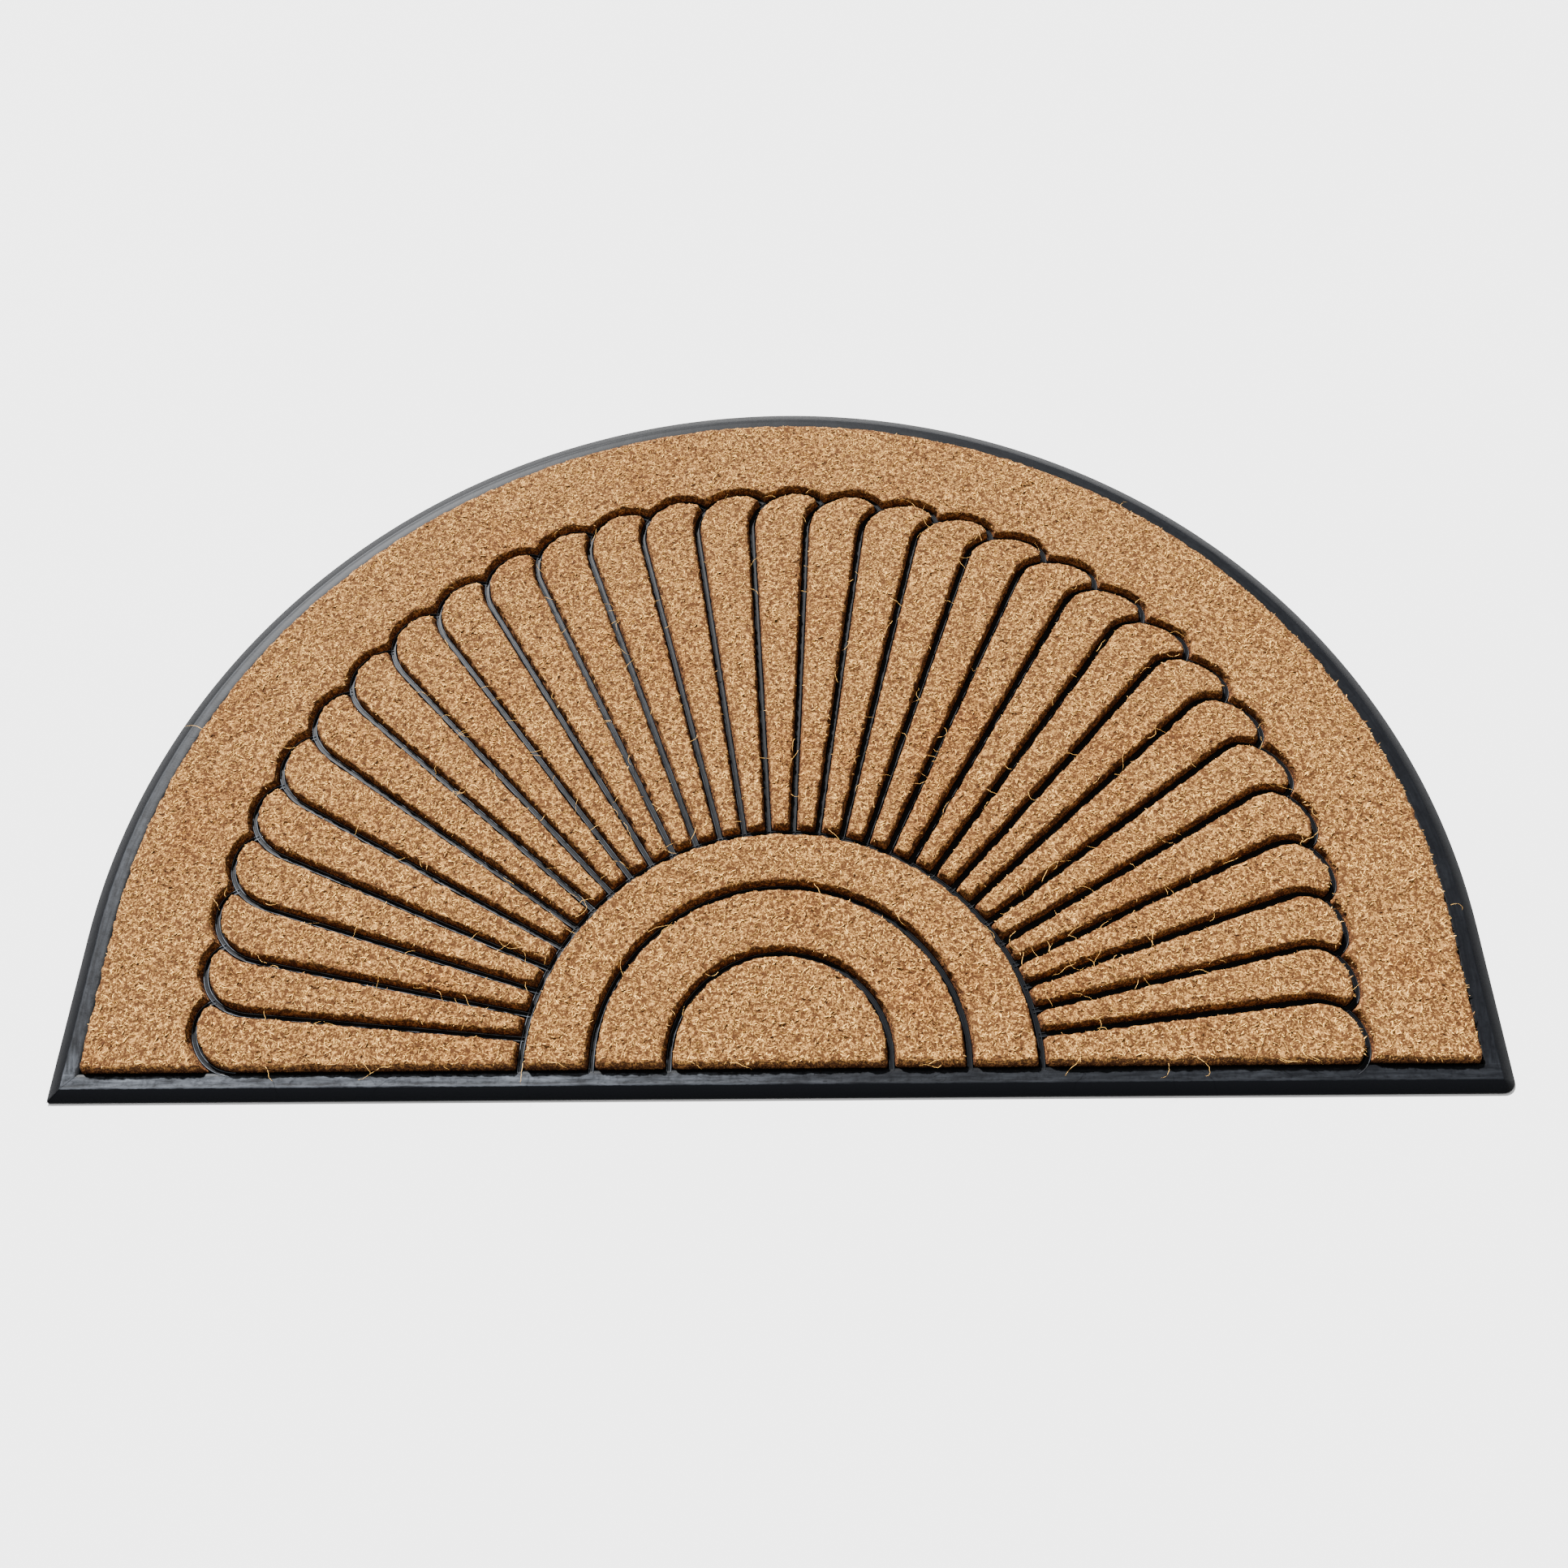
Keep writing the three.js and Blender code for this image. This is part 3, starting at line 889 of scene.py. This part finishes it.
def rubber_dust_and_sheen_group():
    """Dust with a painted sheen, and a painted highlight on the ribs' lips, on moulded rubber: a mask, and
    the relief of its skin.
    """
    group, given, put = new_group("rubber_dust_and_sheen", [
        ("Dust Height", "NodeSocketFloat", DUST_AND_SHEEN_HEIGHT),
        ("Dust", "NodeSocketFloat", 1.0),
    ], [("Mask", "NodeSocketFloat"), ("Relief", "NodeSocketFloat")])
    place = position(group)
    x, y, z = axes_of(group, place)
    waver = calculate(group, "SUBTRACT", noise(group, place, RAGGED["scale"], detail=2.0), 0.5)
    height = calculate(group, "ADD", z, product(group, waver, RAGGED["height"]))
    dust_and_sheen_height = given.outputs["Dust Height"]
    raised = between(group, height, calculate(group, "SUBTRACT", dust_and_sheen_height, DUST_AND_SHEEN_FADE), dust_and_sheen_height)
    streaks = noise(group, along_border(group, place), STREAK_SCALE, detail=5.0, roughness=0.65)
    smear = remap(group, streaks, *STREAK_RANGE)
    cloud = remap(group, noise(group, place, CLOUD_SCALE, detail=4.0, roughness=0.65), *CLOUD_RANGE)
    # Painted sheen: the grey is strongest towards the left and dies away to the right
    away = calculate(group, "ADD", x, product(group, y, LEFT_LEAN))
    leftward = remap(group, away, *LEFT_RANGE)
    frontward = remap(group, y, *FRONT_RANGE)
    corner = product(group, leftward, frontward)
    dust_and_sheen = product(group, cloud, smear, raised, corner, given.outputs["Dust"])
    # Painted highlight along the ribs' raised lips, broken into patches and strongest at the left
    lip = remap(group, z, *LIP_RANGE)
    lip_highlight_patches = remap(group, noise(group, place, LIP_HIGHLIGHT_SCALE, detail=3.0), *LIP_HIGHLIGHT_RANGE)
    lip_highlight = product(group, lip, lip_highlight_patches, remap(group, away, *LIP_HIGHLIGHT_LEFT_RANGE))
    mask = calculate(group, "MAXIMUM", dust_and_sheen, lip_highlight)
    fine = product(group, noise(group, place, FINE_SKIN["scale"], detail=2.0), FINE_SKIN["share"])
    relief = calculate(group, "ADD", fine, noise(group, place, BROAD_SKIN_SCALE, detail=3.0))
    join(group, (mask, put.inputs["Mask"]), (relief, put.inputs["Relief"]))
    return group


def use_group(tree, group, **values):
    node = add_node(tree, "ShaderNodeGroup", node_tree=group)
    for label, value in values.items():
        socket = node.inputs[label.replace("_", " ")]
        socket.default_value = (*value, 1.0) if isinstance(value, tuple) else value
    return node


def new_material(name, roughness, specular):
    material = bpy.data.materials.new(name)
    material.use_nodes = True
    tree = material.node_tree
    shader = tree.nodes["Principled BSDF"]
    shader.inputs["Roughness"].default_value = roughness
    shader.inputs["Specular IOR Level"].default_value = specular
    return material, tree, shader


def add_relief(tree, shader, height, distance, strength):
    bump = add_node(tree, "ShaderNodeBump")
    bump.inputs["Strength"].default_value = strength
    bump.inputs["Distance"].default_value = distance
    join(tree, (height, bump.inputs["Height"]), (bump.outputs["Normal"], shader.inputs["Normal"]))


TONE = coir_tone_group()
DEPTH = depth_group()
DUST_AND_SHEEN_GROUP = rubber_dust_and_sheen_group()

def coir_surface(name, look):
    """Coir whose tone is the shared one, with painted shade darker down the sides of a block."""
    material, tree, shader = new_material(name, look["roughness"], COIR_SPECULAR)
    tone = use_group(tree, TONE, Light=COIR_LIGHT, Middle=COIR_MIDDLE, Dark=COIR_DARK,
                     Patch_Size=STAIN_SCALE)
    if isinstance(look["tone"], float):
        tone.inputs["Fibre"].default_value = look["tone"]
    else:
        own = add_node(tree, "ShaderNodeAttribute", attribute_name="strand")
        join(tree, (remap(tree, own.outputs["Fac"], 0.0, 1.0, *look["tone"]), tone.inputs["Fibre"]))
    depth = use_group(tree, DEPTH, Top=SHADE_TOP, Foot=SHADE_FOOT)
    # Painted shade: the colour is multiplied towards COIR_SHADE the deeper a point lies down a block's
    # side
    colour = blend_colour(tree, depth.outputs["Depth"], tone.outputs["Color"], COIR_SHADE, "MULTIPLY")
    join(tree, (colour, shader.inputs["Base Color"]))
    return material, tree, shader


def coir_pile_material():
    material, tree, shader = coir_surface("coir_pile", PILE_LOOK)
    relief = noise(tree, position(tree), PILE_RELIEF["scale"], detail=3.0)
    add_relief(tree, shader, relief, PILE_RELIEF["distance"], PILE_RELIEF["strength"])
    return material


def coir_fibre_material():
    return coir_surface("coir_fibre", FIBRE_LOOK)[0]


def rubber_material():
    material, tree, shader = new_material("moulded_rubber", **RUBBER_SHINE)
    dust_and_sheen_node = use_group(tree, DUST_AND_SHEEN_GROUP, Dust_Height=DUST_AND_SHEEN_HEIGHT, Dust=1.0)
    # Black rubber mixed towards grey by the mask: dust, with painted sheen at the left and painted
    # highlights on the ribs' lips
    colour = blend_colour(tree, dust_and_sheen_node.outputs["Mask"], RUBBER_BLACK, RUBBER_DUST_AND_SHEEN)
    rough = remap(tree, dust_and_sheen_node.outputs["Mask"], *RUBBER_ROUGHNESS)
    join(tree, (colour, shader.inputs["Base Color"]), (rough, shader.inputs["Roughness"]))
    add_relief(tree, shader, dust_and_sheen_node.outputs["Relief"], **RUBBER_RELIEF)
    return material


COIR_PILE = coir_pile_material()
COIR_FIBRE = coir_fibre_material()
RUBBER = rubber_material()


# Rubber tray

def tray_shell():
    loops = [with_height(mat_outline(level["inset"]), level["z"]) for level in BORDER_SECTION]
    return np.vstack(loops), closed_stack(len(loops[0]), len(loops))


def rib_wall(line):
    """A rib along an open line, with the section's lips and trough."""
    section = RIB_SECTION + [
        {"across": -row["across"], "z": row["z"]} for row in RIB_SECTION[-2::-1]
    ]
    ahead = np.vstack([line[1:] - line[:-1], line[-1:] - line[-2:-1]])
    back = np.vstack([ahead[:1], ahead[:-1]])
    along = ahead / np.linalg.norm(ahead, axis=1)[:, None] + back / np.linalg.norm(back, axis=1)[:, None]
    along /= np.linalg.norm(along, axis=1)[:, None]
    left = np.column_stack([-along[:, 1], along[:, 0]])
    points = np.concatenate([
        with_height(line - left * row["across"], row["z"])[:, None] for row in section
    ], 1)
    return points.reshape(-1, 3), closed_stack(len(section), len(line))


def rib_lines():
    lines = [ring_line(ring, RING_RIB_STEP) for ring in RINGS]
    for k in range(PETALS):
        side = rib_to_notch(k, RIB_STEPS)
        stem = curve_points([side[0], side[1]], 0, 1, RIB_STEPS["stem"])
        side = side[1:] if k == 0 else np.vstack([stem[:-1], side[1:]])
        lines.append(np.vstack([side, rib_over_tip(k, RIB_STEPS)[1:]]))
    return lines


def mitre_seam():
    """The seam where the border's front and left strips meet."""
    levels = [level for level in BORDER_SECTION if level["z"] > SEAM_FROM]
    points = []
    for level in levels:
        x, y, z = level["inset"] - ROUND_RADIUS, level["inset"], level["z"]
        points += [
            (x + SEAM_HALF_WIDTH, y - SEAM_HALF_WIDTH, z - SEAM_SUNK),
            (x, y, z + SEAM_PROUD),
            (x - SEAM_HALF_WIDTH, y + SEAM_HALF_WIDTH, z - SEAM_SUNK),
        ]
    return np.array(points), tube_faces(len(levels) - 1)


def rubber_tray():
    points, faces = joined([tray_shell(), mitre_seam()] + [rib_wall(line) for line in rib_lines()])
    tray = make_piece("rubber_tray", points, faces, RUBBER)
    tray.data.set_sharp_from_angle(angle=SHARP_ANGLE)
    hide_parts("rubber_base")


# Coir blocks and their loose fibres

def coir_cells():
    cells = {"coir_centre": ring_cell(0), "coir_inner_ring": ring_cell(1), "coir_outer_ring": ring_cell(2)}
    for k in range(PETALS):
        cells[f"coir_petal_{k + 1:02d}"] = petal_cell(k)
    cells["coir_outer_band"] = outer_band_cell()
    return cells


def fibre_group(name, side):
    if "petal" in name:
        return "petal_fibres_" + side
    return "band_fibres_" + side if "band" in name else "ring_fibres"


def coir_blocks():
    groups = {}
    rims = []
    for number, (name, cell) in enumerate(coir_cells().items()):
        random = np.random.default_rng(BLOCK_SEED + number)
        rim, inner = pile_block(name, cell, random)
        rims.append(rim)
        for part in (lying_fibres(rim, inner, random), leaning_fibres(rim, random)):
            on_left = part[0][:, 0] < 0
            for side, chosen in (("left", on_left), ("right", ~on_left)):
                if chosen.any():
                    groups.setdefault(fibre_group(name, side), []).append([row[chosen] for row in part])
    for number, (name, parts) in enumerate(groups.items()):
        fibre_piece(name, parts, np.random.default_rng(FIBRE_SEED + number))
    loose_hairs(rims)


rubber_tray()
coir_blocks()


# Floor, light and camera

FLOOR_HALF = 60.0
FLOOR_SCALE = 3.0
FLOOR_COLOURS = ((0.93, 0.93, 0.93), (0.96, 0.96, 0.96))
FLOOR_SHINE = {"roughness": 0.9, "specular": 0.1}


def floor():
    mesh = bpy.data.meshes.new("floor")
    corners = [(FLOOR_HALF * x, FLOOR_HALF * y, 0) for x, y in ((-1, -1), (1, -1), (1, 1), (-1, 1))]
    mesh.from_pydata(corners, [], [(0, 1, 2, 3)])
    material, tree, shader = new_material("pale_floor", **FLOOR_SHINE)
    colour = blend_colour(tree, noise(tree, position(tree), FLOOR_SCALE), *FLOOR_COLOURS)
    join(tree, (colour, shader.inputs["Base Color"]))
    mesh.materials.append(material)
    plane = bpy.data.objects.new("floor", mesh)
    bpy.context.scene.collection.objects.link(plane)


SUN_AZIMUTH = math.radians(116)
SUN_HEIGHT = math.radians(40)
SUN_SOFTNESS = math.radians(3)
SUN_STRENGTH = 19.0
SKY_STRENGTH = 0.64


def lights():
    key = bpy.data.objects.new("key_light", bpy.data.lights.new("key_light", "SUN"))
    key.data.energy = SUN_STRENGTH
    key.data.angle = SUN_SOFTNESS
    towards = Vector((math.cos(SUN_AZIMUTH) * math.cos(SUN_HEIGHT),
                      math.sin(SUN_AZIMUTH) * math.cos(SUN_HEIGHT), math.sin(SUN_HEIGHT)))
    key.rotation_euler = towards.to_track_quat("Z", "Y").to_euler()
    bpy.context.scene.collection.objects.link(key)
    world = bpy.data.worlds.new("studio")
    world.use_nodes = True
    world.node_tree.nodes["Background"].inputs["Color"].default_value = (1.0, 1.0, 1.0, 1.0)
    world.node_tree.nodes["Background"].inputs["Strength"].default_value = SKY_STRENGTH
    bpy.context.scene.world = world


# Where the photographer stood, and how the camera was held
CAMERA_PLACE = np.array([48.0, -426.0, 1238.0])
CAMERA_PITCH = math.radians(59.48)
CAMERA_YAW = math.radians(-3.09)
CAMERA_ROLL = math.radians(-3.38)
FOCAL_PIXELS = 1909.0
PHOTO_SIDE = 1932.0
SENSOR_WIDTH = 36.0
CLIP_END = 50.0


def camera():
    forward = Vector((math.sin(CAMERA_YAW) * math.cos(CAMERA_PITCH),
                      math.cos(CAMERA_YAW) * math.cos(CAMERA_PITCH), -math.sin(CAMERA_PITCH)))
    level = Vector((math.cos(CAMERA_YAW), -math.sin(CAMERA_YAW), 0.0))
    upright = level.cross(forward)
    right = level * math.cos(CAMERA_ROLL) + upright * math.sin(CAMERA_ROLL)
    top = upright * math.cos(CAMERA_ROLL) - level * math.sin(CAMERA_ROLL)
    data = bpy.data.cameras.new("camera")
    data.sensor_width = SENSOR_WIDTH
    data.lens = SENSOR_WIDTH * FOCAL_PIXELS / PHOTO_SIDE
    data.clip_end = CLIP_END
    eye = bpy.data.objects.new("camera", data)
    turn = Matrix((right, top, -forward)).transposed().to_4x4()
    eye.matrix_world = Matrix.Translation(Vector(to_world(CAMERA_PLACE))) @ turn
    bpy.context.scene.collection.objects.link(eye)
    bpy.context.scene.camera = eye


floor()
lights()
camera()
